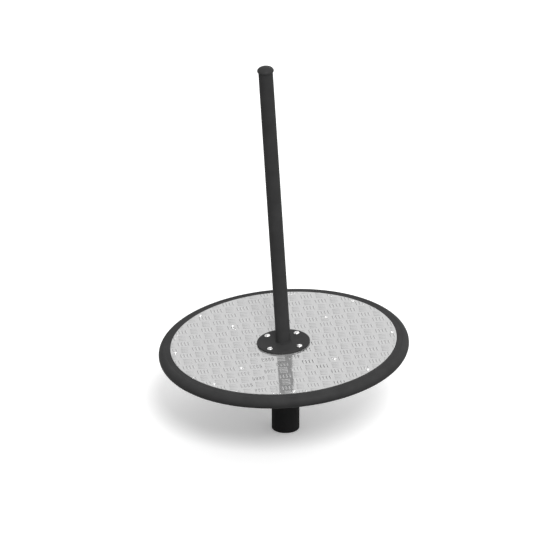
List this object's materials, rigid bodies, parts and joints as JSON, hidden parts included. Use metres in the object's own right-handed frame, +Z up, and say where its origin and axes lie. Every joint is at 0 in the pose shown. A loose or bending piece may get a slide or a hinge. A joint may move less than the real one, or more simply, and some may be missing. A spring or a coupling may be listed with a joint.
{
  "type": "inclined standing spinner with pole",
  "caption": "Round tread-plate standing deck in a tubular rim that spins on a short post about a slightly leaning axis, with a tall capped pole at its centre.",
  "frame": {"origin": "middle of the ground post's foot, at ground level", "axes": "+Z up along the post; the spin axis leans from +Z towards -X in the XZ plane"},
  "size_m": [1.0285, 1.0304, 1.6454],
  "materials": {
    "black_coat": "black powder coat on steel, satin",
    "post_coat": "black powder coat on steel, darker",
    "tread_aluminium": "bright tread plate, raised bars in groups of four",
    "stainless": "bright stainless fasteners",
    "zinc_steel": "zinc-plated steel",
    "machined_steel": "turned steel, lightly oiled",
    "bearing_steel": "ground and polished bearing steel",
    "seal_rubber": "matt nitrile rubber",
    "cap_plastic": "moulded black plastic"
  },
  "bodies": {
    "post": {"ground_post": "post_coat", "post_head_plate": "post_coat", "axle": "machined_steel", "axle_bolt_1": "zinc_steel", "axle_bolt_2": "zinc_steel", "axle_bolt_3": "zinc_steel", "axle_bolt_4": "zinc_steel", "axle_nut_1": "zinc_steel", "axle_nut_2": "zinc_steel", "axle_nut_3": "zinc_steel", "axle_nut_4": "zinc_steel", "lower_bearing_inner_ring": "bearing_steel", "upper_bearing_inner_ring": "bearing_steel", "bearing_spacer": "machined_steel", "tab_washer": "zinc_steel", "lock_nut": "machined_steel"},
    "deck": {"hub_housing": "black_coat", "hub_flange": "black_coat", "lower_bearing_outer_ring": "bearing_steel", "upper_bearing_outer_ring": "bearing_steel", "retaining_ring": "machined_steel", "dust_seal": "seal_rubber", "frame_arm_1": "black_coat", "frame_arm_2": "black_coat", "frame_arm_3": "black_coat", "frame_arm_4": "black_coat", "rim_ledge": "black_coat", "rim_ring": "black_coat", "tread_plate": "tread_aluminium", "rim_screw_1": "stainless", "rim_screw_2": "stainless", "rim_screw_3": "stainless", "rim_screw_4": "stainless", "rim_screw_5": "stainless", "rim_screw_6": "stainless", "rim_screw_7": "stainless", "rim_screw_8": "stainless", "arm_screw_1": "stainless", "arm_screw_2": "stainless", "arm_screw_3": "stainless", "arm_screw_4": "stainless", "pole_flange": "black_coat", "pole": "black_coat", "pole_cap": "cap_plastic", "flange_bolt_1": "stainless", "flange_bolt_2": "stainless", "flange_bolt_3": "stainless", "flange_bolt_4": "stainless"},
    "bearing_cages": {"lower_bearing_ball_cage": "bearing_steel", "upper_bearing_ball_cage": "bearing_steel"}
  },
  "joints": [
    {"name": "disc_spin", "type": "hinge", "parent": "post", "child": "deck", "pos_m": [0, 0, 0.244], "axis": [-0.0593, 0, 0.9982], "continuous": true},
    {"name": "cage_roll", "type": "hinge", "parent": "post", "child": "bearing_cages", "pos_m": [0, 0, 0.244], "axis": [-0.0593, 0, 0.9982], "continuous": true}
  ],
  "couplings": [
    {"joint": "cage_roll", "follows": "disc_spin", "ratio": 0.6}
  ]
}
